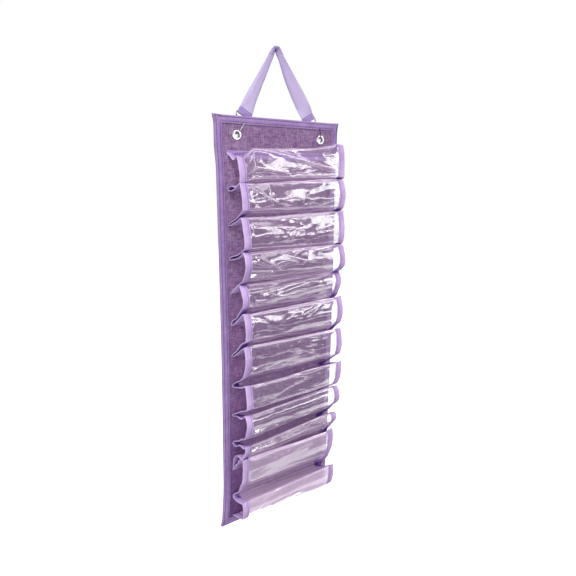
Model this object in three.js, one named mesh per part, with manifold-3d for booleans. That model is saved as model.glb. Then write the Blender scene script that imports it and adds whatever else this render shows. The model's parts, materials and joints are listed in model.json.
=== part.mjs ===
// Multi glasses organizer: a stiffened linen panel that hangs from a webbing strap, with twelve clear film pockets.
//
// Millimetres, +Z up, the pockets face -Y and X runs across the panel. The origin is on the wall side (Y = 0) in the
// middle of the bottom binding strip.

import * as THREE from "three";
import { mergeVertices } from "three/addons/utils/BufferGeometryUtils.js";
import Module from "manifold-3d";

// ---------------------------------------------------------------------------------------------------------------------
// Driving dimensions
// ---------------------------------------------------------------------------------------------------------------------

// Panel: two fabric skins on a board, with a binding folded over all four edges
const PANEL_WIDTH = 250;
const PANEL_HEIGHT = 780;
const BINDING_WIDTH = 13;
const BINDING_THICKNESS = 1;
const FABRIC_THICKNESS = 0.8;
const BOARD_THICKNESS = 2.4;
const GAP = 0.3; // clearance between neighbouring solids

// Pocket strip: one long film, pleated to the panel at each seam
const POCKET_COUNT = 12;
const POCKET_PITCH = 60;
const FIRST_SEAM_DROP = 60; // below the panel's top edge
const STRIP_WIDTH = 214;
const FILM_THICKNESS = 0.6;
const TAPE_WIDTH = 13.5;
const TAPE_THICKNESS = 0.6;
const HEADER_HEIGHT = 14; // sewn band above the first pocket

// Pocket front, as depth from the panel's face and height above the pocket's upper seam
const FRONT_TOP = { depth: 50, rise: 20 };
const FRONT_BOTTOM = { depth: 53, rise: -23 };
const FRONT_BULGE = 5;
const FRONT_SEGMENTS = 6;

// Eyelets
const EYELET_SPACING = 174;
const EYELET_DROP = 31; // below the panel's top edge
const EYELET_HOLE_RADIUS = 4.8;
const EYELET_WALL = 0.7;
const EYELET_FLANGE_RADIUS = 8.5;
const EYELET_FLANGE_THICKNESS = 0.8;

// Hanging strap and its wire hooks
const STRAP_WIDTH = 25;
const STRAP_THICKNESS = 1.4;
const STRAP_APEX_HEIGHT = 120; // above the panel's top edge
const STRAP_GATHER = 0.65; // share of its width that the strap loses where it is bunched over the peg
const STRAP_SEGMENTS = 72;
const PEG_RADIUS = 2.5; // of the peg that the strap's top bends over
const HEM_LENGTH = 11;
const HEM_SLEEVE_RADIUS = 2.4;
const HEM_BEND_GAP = 2.2; // free webbing between the hem and the rest of the strap
const WIRE_RADIUS = 0.9;
const HOOK_BAR_REACH = 38.5; // from the eyelet's centre to the bar in the hem
const HOOK_NECK_DROP = 16; // below the bar, where the loop's two sides meet the shank
const HOOK_BEND_RADIUS = 1.6;
const HOOK_TIP_RISE = 17;
const HOOK_TIP_FLARE = 8; // the open tip leans away from the panel
const HOOK_TIP_CLEARANCE = 2.6;
const HANDLE_LEAN = THREE.MathUtils.degToRad(5); // the strap hangs back from the panel's plane

// ---------------------------------------------------------------------------------------------------------------------
// Derived places
// ---------------------------------------------------------------------------------------------------------------------

const PANEL_BOTTOM = -BINDING_WIDTH / 2;
const PANEL_TOP = PANEL_BOTTOM + PANEL_HEIGHT;
const BACK_FABRIC_REAR = BINDING_THICKNESS + GAP;
const BOARD_REAR = BACK_FABRIC_REAR + FABRIC_THICKNESS + GAP;
const FRONT_FABRIC_REAR = BOARD_REAR + BOARD_THICKNESS + GAP;
const PANEL_FACE = FRONT_FABRIC_REAR + FABRIC_THICKNESS;
const PANEL_THICKNESS = PANEL_FACE + GAP + BINDING_THICKNESS;
const LOWEST_SEAM = PANEL_BOTTOM + BINDING_WIDTH + 2 * GAP;
const EYELET_HEIGHT = PANEL_TOP - EYELET_DROP;
const EYELET_BARREL_RADIUS = EYELET_HOLE_RADIUS + EYELET_WALL;
const LEG_TILT = Math.atan2(EYELET_SPACING / 2, STRAP_APEX_HEIGHT + EYELET_DROP); // strap leg, from vertical

function seamHeight(seam) {
  return Math.max(PANEL_TOP - FIRST_SEAM_DROP - seam * POCKET_PITCH, LOWEST_SEAM);
}

// ---------------------------------------------------------------------------------------------------------------------
// Materials
// ---------------------------------------------------------------------------------------------------------------------

const LINEN = new THREE.MeshStandardMaterial({ color: 0x91709b, roughness: 0.95, metalness: 0 });
const LINING = new THREE.MeshStandardMaterial({ color: 0x8a6f9a, roughness: 0.9, metalness: 0 });
const BOARD = new THREE.MeshStandardMaterial({ color: 0xd8d2c6, roughness: 0.8, metalness: 0 });
const BINDING = new THREE.MeshStandardMaterial({ color: 0xa688c6, roughness: 0.85, metalness: 0 });
const WEBBING = new THREE.MeshStandardMaterial({ color: 0xd0bee8, roughness: 0.8, metalness: 0 });
const STEEL = new THREE.MeshStandardMaterial({ color: 0xc4c6ca, roughness: 0.2, metalness: 1 });
const FILM = new THREE.MeshStandardMaterial({
  color: 0xf4f4fa,
  roughness: 0.08,
  metalness: 0,
  transparent: true,
  opacity: 0.3,
  side: THREE.DoubleSide,
});

// ---------------------------------------------------------------------------------------------------------------------
// Shape helpers
// ---------------------------------------------------------------------------------------------------------------------

const wasm = await Module();
wasm.setup();

function toSolid(geometry) {
  const bare = geometry.clone();
  bare.deleteAttribute("normal");
  bare.deleteAttribute("uv");
  const merged = mergeVertices(bare, 1e-4);
  const vertProperties = new Float32Array(merged.attributes.position.array);
  const triVerts = new Uint32Array(merged.index.array);
  return new wasm.Manifold(new wasm.Mesh({ numProp: 3, vertProperties, triVerts }));
}

function toGeometry(solid) {
  const { vertProperties, triVerts } = solid.getMesh();
  const geometry = new THREE.BufferGeometry();
  geometry.setAttribute("position", new THREE.BufferAttribute(vertProperties, 3));
  geometry.setIndex(new THREE.BufferAttribute(triVerts, 1));
  return geometry;
}

function subtract(body, ...cutters) {
  let solid = toSolid(body);
  for (const cutter of cutters) {
    solid = solid.subtract(toSolid(cutter));
  }
  return toGeometry(solid);
}

// A box as wide as width, between two depths from the wall and two heights
function slab(width, depths, heights) {
  const thickness = depths[1] - depths[0];
  const height = heights[1] - heights[0];
  const middle = [0, -(depths[0] + depths[1]) / 2, (heights[0] + heights[1]) / 2];
  return new THREE.BoxGeometry(width, thickness, height).translate(...middle);
}

// An outline in (depth from the wall, height), extruded across the strip
function acrossStrip(outline, width) {
  const shape = new THREE.Shape(outline);
  const geometry = new THREE.ExtrudeGeometry(shape, { depth: width, bevelEnabled: false });
  const toPart = new THREE.Matrix4().set(0, 0, -1, width / 2, -1, 0, 0, 0, 0, 1, 0, 0, 0, 0, 0, 1);
  return geometry.applyMatrix4(toPart);
}

// A section, counter-clockwise in (across, normal), carried through frames of { at, along, across }; a frame's squeeze
// narrows the section and thickens it by the same factor
function sweep(section, frames) {
  const count = section.length;
  const points = [];
  for (const { at, along, across, squeeze = 1 } of frames) {
    const normal = new THREE.Vector3().crossVectors(along, across).normalize();
    for (const { x, y } of section) {
      points.push(at.clone().addScaledVector(across, x * squeeze).addScaledVector(normal, y / squeeze));
    }
  }
  const faces = [];
  for (let ring = 0; ring < frames.length - 1; ring += 1) {
    for (let side = 0; side < count; side += 1) {
      const a = ring * count + side;
      const b = ring * count + ((side + 1) % count);
      faces.push(a, b, b + count, a, b + count, a + count);
    }
  }
  const last = (frames.length - 1) * count;
  for (const [a, b, c] of THREE.ShapeUtils.triangulateShape(section, [])) {
    faces.push(a, c, b);
    faces.push(last + a, last + b, last + c);
  }
  return new THREE.BufferGeometry().setFromPoints(points).setIndex(faces);
}

function rectangle(width, thickness) {
  const [x, y] = [width / 2, thickness / 2];
  return [[-x, -y], [x, -y], [x, y], [-x, y]].map(([u, v]) => new THREE.Vector2(u, v));
}

// A curve through corner points, each corner rounded
function roundedPath(corners, radius) {
  const path = new THREE.CurvePath();
  let from = corners[0];
  for (let i = 1; i < corners.length - 1; i += 1) {
    const corner = corners[i];
    const before = corners[i - 1].clone().sub(corner).setLength(radius).add(corner);
    const after = corners[i + 1].clone().sub(corner).setLength(radius).add(corner);
    path.add(new THREE.LineCurve3(from, before));
    path.add(new THREE.QuadraticBezierCurve3(before, corner, after));
    from = after;
  }
  path.add(new THREE.LineCurve3(from, corners[corners.length - 1]));
  return path;
}

// ---------------------------------------------------------------------------------------------------------------------
// Panel
// ---------------------------------------------------------------------------------------------------------------------

function eyeletHole() {
  const radius = EYELET_BARREL_RADIUS + GAP;
  return new THREE.CylinderGeometry(radius, radius, 4 * PANEL_THICKNESS, 24);
}

// One layer of the panel, inside the binding, with its two eyelet holes
function panelLayer(rear, thickness) {
  const width = PANEL_WIDTH - 2 * (BINDING_THICKNESS + GAP);
  const heights = [PANEL_BOTTOM + BINDING_THICKNESS + GAP, PANEL_TOP - BINDING_THICKNESS - GAP];
  const holes = [-1, 1].map((side) => eyeletHole().translate((side * EYELET_SPACING) / 2, 0, EYELET_HEIGHT));
  return subtract(slab(width, [rear, rear + thickness], heights), ...holes);
}

// A folded tape with a front and a rear lip, joined round the panel's four edges
function edgeBinding() {
  const outer = slab(PANEL_WIDTH, [0, PANEL_THICKNESS], [PANEL_BOTTOM, PANEL_TOP]);
  const fold = BINDING_THICKNESS;
  const slot = slab(
    PANEL_WIDTH - 2 * fold,
    [fold, PANEL_THICKNESS - fold],
    [PANEL_BOTTOM + fold, PANEL_TOP - fold],
  );
  const window = slab(
    PANEL_WIDTH - 2 * BINDING_WIDTH,
    [-fold, PANEL_THICKNESS + fold],
    [PANEL_BOTTOM + BINDING_WIDTH, PANEL_TOP - BINDING_WIDTH],
  );
  return subtract(outer, slot, window);
}

// A flanged ring through the panel: barrel, front flange and rolled rear flange
function eyelet() {
  const front = PANEL_FACE + GAP;
  const rear = BACK_FABRIC_REAR - GAP;
  const profile = [
    [EYELET_HOLE_RADIUS, rear - EYELET_FLANGE_THICKNESS],
    [EYELET_FLANGE_RADIUS - 1, rear - EYELET_FLANGE_THICKNESS],
    [EYELET_FLANGE_RADIUS, rear],
    [EYELET_BARREL_RADIUS, rear],
    [EYELET_BARREL_RADIUS, front],
    [EYELET_FLANGE_RADIUS, front],
    [EYELET_FLANGE_RADIUS - 0.6, front + EYELET_FLANGE_THICKNESS * 0.8],
    [EYELET_BARREL_RADIUS + 0.6, front + EYELET_FLANGE_THICKNESS],
    [EYELET_HOLE_RADIUS, front + EYELET_FLANGE_THICKNESS * 0.5],
    [EYELET_HOLE_RADIUS, rear - EYELET_FLANGE_THICKNESS],
  ];
  const points = profile.map(([radius, depth]) => new THREE.Vector2(radius, depth));
  return new THREE.LatheGeometry(points, 24).rotateX(Math.PI);
}

// ---------------------------------------------------------------------------------------------------------------------
// Pockets
// ---------------------------------------------------------------------------------------------------------------------

// Frames down a pocket's front: the wall bulges a little between its upper and lower fold
function frontFrames(seam, x) {
  const [top, bottom] = [FRONT_TOP, FRONT_BOTTOM].map(
    ({ depth, rise }) => new THREE.Vector3(x, -PANEL_FACE - depth, seamHeight(seam) + rise),
  );
  const belly = top.clone().lerp(bottom, 0.6);
  belly.y -= 2 * FRONT_BULGE;
  const curve = new THREE.QuadraticBezierCurve3(top, belly, bottom);
  const across = new THREE.Vector3(1, 0, 0);
  return Array.from({ length: FRONT_SEGMENTS + 1 }, (_, i) => {
    const t = i / FRONT_SEGMENTS;
    return { at: curve.getPoint(t), along: curve.getTangent(t), across };
  });
}

function filmFront(seam) {
  const width = STRIP_WIDTH - 2 * (TAPE_THICKNESS + GAP);
  return sweep(rectangle(width, FILM_THICKNESS), frontFrames(seam, 0));
}

// Half of a tape folded over the film's edge; side is -1 for left and 1 for right
function edgeTape(seam, side) {
  const inner = FILM_THICKNESS / 2 + GAP;
  const outer = inner + TAPE_THICKNESS;
  const outline = [
    [-TAPE_WIDTH, -outer],
    [0, -outer],
    [0, outer],
    [-TAPE_WIDTH, outer],
    [-TAPE_WIDTH, inner],
    [-TAPE_THICKNESS, inner],
    [-TAPE_THICKNESS, -inner],
    [-TAPE_WIDTH, -inner],
  ];
  const section = outline.map(([u, v]) => new THREE.Vector2(side * u, v));
  if (side < 0) {
    section.reverse();
  }
  return sweep(section, frontFrames(seam, (side * STRIP_WIDTH) / 2));
}

// Where a pleat's leg stops, just behind the edge of a pocket's front
function legEnd({ depth, rise }, seam) {
  const clear = FILM_THICKNESS / 2 + 2 * GAP + TAPE_THICKNESS;
  return new THREE.Vector2(PANEL_FACE + depth - clear, seamHeight(seam) + rise);
}

// A straight leg of film from a root at the seam; its two sides are returned, lower side first
function legSides(root, tip) {
  const side = tip.clone().sub(root).normalize().rotateAround(new THREE.Vector2(), Math.PI / 2);
  const half = side.multiplyScalar(FILM_THICKNESS / 2);
  const lower = [root.clone().sub(half), tip.clone().sub(half)];
  const upper = [root.clone().add(half), tip.clone().add(half)];
  return { lower, upper };
}

function crossing([a, b], [c, d]) {
  const r = b.clone().sub(a);
  const s = d.clone().sub(c);
  const t = c.clone().sub(a).cross(s) / r.cross(s);
  return a.clone().addScaledVector(r, t);
}

function seamRoot(seam) {
  return new THREE.Vector2(PANEL_FACE + GAP, seamHeight(seam));
}

// The film between two pockets, sewn down in a V: the upper pocket's floor and the lower pocket's roof
function sharedPleat(seam) {
  const root = seamRoot(seam);
  const floor = legSides(root, legEnd(FRONT_BOTTOM, seam - 1));
  const roof = legSides(root, legEnd(FRONT_TOP, seam));
  const notch = crossing(floor.lower, roof.upper);
  const foot = FILM_THICKNESS;
  const outline = [
    new THREE.Vector2(root.x, root.y - foot),
    new THREE.Vector2(root.x + foot, root.y - foot),
    roof.lower[1],
    roof.upper[1],
    notch,
    floor.lower[1],
    floor.upper[1],
    new THREE.Vector2(root.x, root.y + foot),
  ];
  return acrossStrip(outline, STRIP_WIDTH);
}

// The sewn header band with the first pocket's roof
function topPleat() {
  const root = seamRoot(0);
  const roof = legSides(root, legEnd(FRONT_TOP, 0));
  const thickness = 2 * FILM_THICKNESS;
  const face = root.x + thickness;
  const upperFace = [new THREE.Vector2(face, root.y - HEADER_HEIGHT), new THREE.Vector2(face, root.y + HEADER_HEIGHT)];
  const outline = [
    new THREE.Vector2(root.x, root.y - HEADER_HEIGHT * 0.7),
    new THREE.Vector2(face, root.y - HEADER_HEIGHT * 0.7),
    crossing(roof.lower, upperFace),
    roof.lower[1],
    roof.upper[1],
    crossing(roof.upper, upperFace),
    new THREE.Vector2(face, root.y + HEADER_HEIGHT * 0.3),
    new THREE.Vector2(root.x, root.y + HEADER_HEIGHT * 0.3),
  ];
  return acrossStrip(outline, STRIP_WIDTH);
}

// The last pocket's floor, sewn down along the bottom binding
function bottomPleat() {
  const root = seamRoot(POCKET_COUNT);
  const floor = legSides(root, legEnd(FRONT_BOTTOM, POCKET_COUNT - 1));
  const foot = 2 * FILM_THICKNESS;
  const outline = [
    new THREE.Vector2(root.x, root.y),
    new THREE.Vector2(root.x + FILM_THICKNESS, root.y),
    floor.lower[1],
    floor.upper[1],
    new THREE.Vector2(root.x, root.y + foot),
  ];
  return acrossStrip(outline, STRIP_WIDTH);
}

// ---------------------------------------------------------------------------------------------------------------------
// Handle: built in a frame whose origin is midway between the eyelets, Z along the strap's plane
// ---------------------------------------------------------------------------------------------------------------------

// Wire hook: the origin is the eyelet's centre, Z runs up the strap's leg and the tip comes out in front
function wireHook() {
  const pass = EYELET_HOLE_RADIUS / 2;
  const front = -(PANEL_THICKNESS + HOOK_TIP_CLEARANCE + 2 * WIRE_RADIUS);
  const neck = HOOK_BAR_REACH - HOOK_NECK_DROP;
  const shoulder = HOOK_BAR_REACH - 2 * HEM_SLEEVE_RADIUS;
  const half = STRAP_WIDTH / 2 + 2 * WIRE_RADIUS;
  const corners = [
    [0, front - HOOK_TIP_FLARE, pass + HOOK_TIP_RISE],
    [0, front, pass],
    [0, 0, pass],
    [0, 0, neck],
    [-half, 0, shoulder],
    [-half, 0, HOOK_BAR_REACH],
    [half, 0, HOOK_BAR_REACH],
    [half, 0, shoulder],
    [3 * WIRE_RADIUS, 0, neck + 1],
  ].map((corner) => new THREE.Vector3(...corner));
  const section = new THREE.Shape().absarc(0, 0, WIRE_RADIUS, 0, 2 * Math.PI);
  const extrudePath = roundedPath(corners, HOOK_BEND_RADIUS);
  return new THREE.ExtrudeGeometry(section, { extrudePath, steps: 110, curveSegments: 4, bevelEnabled: false });
}

// Doubled end of the webbing, a sleeve round the hook's bar
function strapHem() {
  const hemTop = HEM_LENGTH - HEM_SLEEVE_RADIUS;
  const shape = new THREE.Shape();
  shape.absarc(0, 0, HEM_SLEEVE_RADIUS, Math.PI, 2 * Math.PI);
  shape.lineTo(STRAP_THICKNESS, hemTop / 2);
  shape.lineTo(STRAP_THICKNESS, hemTop);
  shape.lineTo(-STRAP_THICKNESS, hemTop);
  shape.lineTo(-STRAP_THICKNESS, hemTop / 2);
  shape.holes.push(new THREE.Path().absarc(0, 0, WIRE_RADIUS + 2 * GAP, 0, 2 * Math.PI, true));
  const geometry = new THREE.ExtrudeGeometry(shape, { depth: STRAP_WIDTH, curveSegments: 6, bevelEnabled: false });
  const toLeg = new THREE.Matrix4().set(0, 0, -1, STRAP_WIDTH / 2, -1, 0, 0, 0, 0, 1, 0, 0, 0, 0, 0, 1);
  return geometry.applyMatrix4(toLeg).translate(0, 0, HOOK_BAR_REACH);
}

// Centre line of the strap, from the left hem over the peg to the right hem
function strapLine() {
  const start = HOOK_BAR_REACH + HEM_LENGTH - HEM_SLEEVE_RADIUS + HEM_BEND_GAP;
  const bend = PEG_RADIUS + STRAP_THICKNESS / 2;
  const apex = STRAP_APEX_HEIGHT + EYELET_DROP - STRAP_THICKNESS / 2;
  const peg = apex - bend;
  const foot = new THREE.Vector3(EYELET_SPACING / 2 - start * Math.sin(LEG_TILT), 0, start * Math.cos(LEG_TILT));
  const touch = new THREE.Vector3(bend * Math.cos(LEG_TILT), 0, peg + bend * Math.sin(LEG_TILT));
  const crown = new THREE.Vector3(0, 0, apex);
  const mirrored = (point) => new THREE.Vector3(-point.x, point.y, point.z);
  const path = new THREE.CurvePath();
  path.add(new THREE.LineCurve3(mirrored(foot), mirrored(touch)));
  path.add(new THREE.QuadraticBezierCurve3(mirrored(touch), new THREE.Vector3(-bend / 2, 0, crown.z), crown));
  path.add(new THREE.QuadraticBezierCurve3(crown, new THREE.Vector3(bend / 2, 0, crown.z), touch));
  path.add(new THREE.LineCurve3(touch, foot));
  return path;
}

// The webbing lies flat in the panel's plane at each hem, and gathers and turns to lie along the peg at its top
function hangingStrap() {
  const line = strapLine();
  const frames = Array.from({ length: STRAP_SEGMENTS + 1 }, (_, i) => {
    const t = i / STRAP_SEGMENTS;
    const climb = 1 - Math.abs(2 * t - 1); // 0 at either hem, 1 over the peg
    const turn = (Math.PI / 2) * (0.2 * climb + 0.8 * climb ** 12);
    const squeeze = 1 - STRAP_GATHER * climb;
    const along = line.getTangentAt(t);
    const level = new THREE.Vector3().crossVectors(along, new THREE.Vector3(0, 1, 0)).normalize();
    const across = level.multiplyScalar(Math.cos(turn)).add(new THREE.Vector3(0, -Math.sin(turn), 0));
    return { at: line.getPointAt(t), along, across, squeeze };
  });
  return sweep(rectangle(STRAP_WIDTH, STRAP_THICKNESS), frames);
}

// ---------------------------------------------------------------------------------------------------------------------
// Assembly
// ---------------------------------------------------------------------------------------------------------------------

function named(name, geometry, material) {
  const mesh = new THREE.Mesh(geometry, material);
  mesh.name = name;
  return mesh;
}

function twoDigits(number) {
  return String(number).padStart(2, "0");
}

const organizer = new THREE.Group();

organizer.add(named("back_fabric", panelLayer(BACK_FABRIC_REAR, FABRIC_THICKNESS), LINING));
organizer.add(named("stiffener_board", panelLayer(BOARD_REAR, BOARD_THICKNESS), BOARD));
organizer.add(named("front_fabric", panelLayer(FRONT_FABRIC_REAR, FABRIC_THICKNESS), LINEN));
organizer.add(named("edge_binding", edgeBinding(), BINDING));

organizer.add(named("pleat_00", topPleat(), FILM));
for (let seam = 1; seam < POCKET_COUNT; seam += 1) {
  organizer.add(named(`pleat_${twoDigits(seam)}`, sharedPleat(seam), FILM));
}
organizer.add(named(`pleat_${POCKET_COUNT}`, bottomPleat(), FILM));

for (let pocket = 1; pocket <= POCKET_COUNT; pocket += 1) {
  const label = `pocket_${twoDigits(pocket)}`;
  const seam = pocket - 1;
  organizer.add(named(`${label}_window`, filmFront(seam), FILM));
  organizer.add(named(`${label}_tape_left`, edgeTape(seam, -1), BINDING));
  organizer.add(named(`${label}_tape_right`, edgeTape(seam, 1), BINDING));
}

const handle = new THREE.Group();
handle.position.set(0, WIRE_RADIUS + GAP, EYELET_HEIGHT);
handle.rotation.x = -HANDLE_LEAN;
handle.add(named("hanging_strap", hangingStrap(), WEBBING));
for (const [side, label] of [[-1, "left"], [1, "right"]]) {
  const x = (side * EYELET_SPACING) / 2;
  const ring = named(`eyelet_${label}`, eyelet(), STEEL);
  ring.position.set(x, 0, EYELET_HEIGHT);
  organizer.add(ring);

  const leg = new THREE.Group();
  leg.position.x = x;
  leg.rotation.y = -side * LEG_TILT;
  leg.add(named(`strap_hook_${label}`, wireHook(), STEEL));
  leg.add(named(`strap_hem_${label}`, strapHem(), WEBBING));
  handle.add(leg);
}
organizer.add(handle);

export default organizer;
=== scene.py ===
"""Looks of the multi glasses organizer, around its CAD frame.

Metres, +Z up, the pockets face -Y. Depth is measured from the panel's face towards the front, so that
y = FACE_Y - depth. A side is -1 on the left and 1 on the right.
"""

import json
import math

import bpy
import numpy as np
from mathutils import Matrix, Vector, noise


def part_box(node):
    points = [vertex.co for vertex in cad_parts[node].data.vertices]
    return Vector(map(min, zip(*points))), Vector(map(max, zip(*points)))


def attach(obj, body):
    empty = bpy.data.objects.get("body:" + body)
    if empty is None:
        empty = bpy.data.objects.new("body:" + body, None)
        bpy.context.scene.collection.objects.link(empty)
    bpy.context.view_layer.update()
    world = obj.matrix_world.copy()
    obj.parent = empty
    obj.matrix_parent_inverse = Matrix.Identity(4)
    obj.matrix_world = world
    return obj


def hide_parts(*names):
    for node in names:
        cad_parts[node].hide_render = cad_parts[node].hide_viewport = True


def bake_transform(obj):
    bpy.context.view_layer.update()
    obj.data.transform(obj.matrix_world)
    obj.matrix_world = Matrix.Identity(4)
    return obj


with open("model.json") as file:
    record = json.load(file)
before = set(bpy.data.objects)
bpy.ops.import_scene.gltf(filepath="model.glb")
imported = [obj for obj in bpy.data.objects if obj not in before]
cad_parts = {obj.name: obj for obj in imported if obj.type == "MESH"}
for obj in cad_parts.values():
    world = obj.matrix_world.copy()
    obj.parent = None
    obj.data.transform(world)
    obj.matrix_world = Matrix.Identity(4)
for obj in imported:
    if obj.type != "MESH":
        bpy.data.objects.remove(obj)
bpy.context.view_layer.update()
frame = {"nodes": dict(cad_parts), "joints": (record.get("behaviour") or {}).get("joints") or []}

MM = 0.001
SIDE_NAMES = {-1: "left", 1: "right"}
X_AXIS = np.array([1.0, 0.0, 0.0])

# ---- Places, from the CAD frame

PANEL_LOW, PANEL_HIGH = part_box("edge_binding")
HEADER_LOW, HEADER_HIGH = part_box("pleat_00")
EYELET_BOXES = {side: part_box(f"eyelet_{label}") for side, label in SIDE_NAMES.items()}
FACE_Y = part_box("front_fabric")[0].y

PANEL_TOP = PANEL_HIGH.z
PANEL_BOTTOM = PANEL_LOW.z
PANEL_HALF = PANEL_HIGH.x
STRIP_HALF = HEADER_HIGH.x
POCKET_COUNT = 12
PITCH = 60 * MM
FIRST_SEAM = PANEL_TOP - PITCH
LAST_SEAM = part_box(f"pleat_{POCKET_COUNT}")[0].z + 1 * MM
TAPE_WIDTH = 13.5 * MM
BINDING_WIDTH = 13 * MM


def seam_height(seam):
    return max(FIRST_SEAM - seam * PITCH, LAST_SEAM)


# ---- Mesh helpers


def add_object(name, data):
    obj = bpy.data.objects.new(name, data)
    bpy.context.scene.collection.objects.link(obj)
    return obj


def mesh_object(name, vertices, faces, materials, face_materials=None, smooth=True):
    """An object from points, faces, and the number of each face's material."""
    mesh = bpy.data.meshes.new(name)
    points = np.asarray(vertices, float).reshape(-1, 3)
    mesh.from_pydata(points.tolist(), [], [tuple(int(i) for i in face) for face in faces])
    for material in materials:
        mesh.materials.append(material)
    if face_materials is not None:
        mesh.polygons.foreach_set("material_index", np.asarray(face_materials, np.int32))
    mesh.polygons.foreach_set("use_smooth", [smooth] * len(mesh.polygons))
    mesh.update()
    return add_object(name, mesh)


def set_attribute(obj, name, values):
    """A number on each vertex, with zeros after the last value."""
    padded = np.zeros(len(obj.data.vertices), np.float32)
    padded[: np.size(values)] = np.ravel(values)
    obj.data.attributes.new(name, "FLOAT", "POINT").data.foreach_set("value", padded)


def stand_for(obj, slot, *nodes):
    """Hides the frame's nodes that a piece stands in for; the piece and its material slot are not used."""
    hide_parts(*nodes)


def grid_faces(rows, columns, wrap_rows=False, wrap_columns=False):
    """Quads over a rows x columns array of points."""
    faces = []
    for r in range(rows if wrap_rows else rows - 1):
        for c in range(columns if wrap_columns else columns - 1):
            r2, c2 = (r + 1) % rows, (c + 1) % columns
            faces.append((r * columns + c, r * columns + c2, r2 * columns + c2, r2 * columns + c))
    return faces


def looped(rim):
    """The edges of a closed line, as pairs of points."""
    return list(zip(rim, rim[1:] + rim[:1]))


def rectangle_rim(r0, r1, c0, c1, columns):
    """The points round the rectangle from row r0 to r1 and column c0 to c1 of an array of points."""
    rim = [r0 * columns + c for c in range(c0, c1)] + [r * columns + c1 for r in range(r0, r1)]
    rim += [r1 * columns + c for c in range(c1, c0, -1)]
    return rim + [r * columns + c0 for r in range(r1, r0, -1)]


def closed_sheet(front, back, faces, edges):
    """Points and faces of a thin body: the same faces on both skins, joined along the given edges."""
    count = len(front)
    closed = faces + [tuple(i + count for i in face[::-1]) for face in faces]
    closed += [(b, a, a + count, b + count) for a, b in edges]
    return np.concatenate([front, back]), closed


def tube_faces(rings, around):
    """A closed body from rings of points: the sides and two end caps."""
    faces = grid_faces(rings, around, wrap_columns=True)
    faces.append(tuple(range(around))[::-1])
    faces.append(tuple((rings - 1) * around + i for i in range(around)))
    return faces


def unit(vectors):
    return vectors / np.maximum(np.linalg.norm(vectors, axis=-1, keepdims=True), 1e-12)


def travelled(line):
    """The distance from the start of a line to each of its points."""
    return np.concatenate([[0.0], np.cumsum(np.linalg.norm(np.diff(line, axis=0), axis=1))])


def relax(line, times):
    """Rounds a line's corners, with its ends held."""
    for _ in range(times):
        line[1:-1] = 0.25 * line[:-2] + 0.5 * line[1:-1] + 0.25 * line[2:]


def smooth_noise(x, y, z=0.0):
    return noise.noise(Vector((float(x), float(y), float(z))))


noise_grid = np.vectorize(smooth_noise)


def smoothstep(t):
    t = np.clip(t, 0.0, 1.0)
    return t * t * (3 - 2 * t)


def merge(parts):
    """One (vertices, faces, face materials) from several."""
    vertices, faces, slots = [], [], []
    offset = 0
    for points, polygons, slot in parts:
        vertices.append(np.asarray(points, float).reshape(-1, 3))
        faces.extend(tuple(i + offset for i in f) for f in polygons)
        slots.extend([slot] * len(polygons))
        offset += len(vertices[-1])
    return np.concatenate(vertices), faces, slots


# A stitch's rings: place along it, girth, and height over the cloth, as shares of its length and radius
STITCH_RINGS = [(-0.5, 0.35, -0.9), (-0.3, 0.9, 0.3), (0.0, 1.0, 0.7), (0.3, 0.9, 0.3), (0.5, 0.35, -0.9)]
STITCH_ANGLES = np.arange(6) * math.tau / 6


def stitch_run(points, normals, pitch, length, radius):
    """A sewn piece's stitches along a line of points: each is a small bowed spindle lying on the cloth."""
    normals = unit(np.asarray(normals, float))
    distance = travelled(points)
    parts = []
    count = int(distance[-1] / pitch)
    places, girths, lifts = np.array(STITCH_RINGS).T
    for i in range(count):
        middle = (i + 0.5) * distance[-1] / count
        at = middle + places * length
        cores = np.stack([np.interp(at, distance, points[:, k]) for k in range(3)], axis=1)
        normal = unit(np.array([np.interp(middle, distance, normals[:, k]) for k in range(3)]))
        across = np.cross(unit(cores[-1] - cores[0]), normal)
        rings = [
            core + radius * (normal * lift + girth * (across * math.cos(a) + normal * math.sin(a)))
            for core, girth, lift in zip(cores, girths, lifts)
            for a in STITCH_ANGLES
        ]
        parts.append((rings, tube_faces(len(STITCH_RINGS), len(STITCH_ANGLES)), 0))
    vertices, faces, _ = merge(parts)
    return vertices, faces, 1


# ---- Materials


def srgb(*display):
    """A 0-255 display colour as linear RGBA."""
    shares = [value / 255 for value in display]
    return (*(s / 12.92 if s <= 0.04045 else ((s + 0.055) / 1.055) ** 2.4 for s in shares), 1.0)


def dimmed(colour, *shares):
    """A colour with its red, green and blue cut to their shares."""
    return (*(channel * share for channel, share in zip(colour, shares)), 1)


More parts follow.
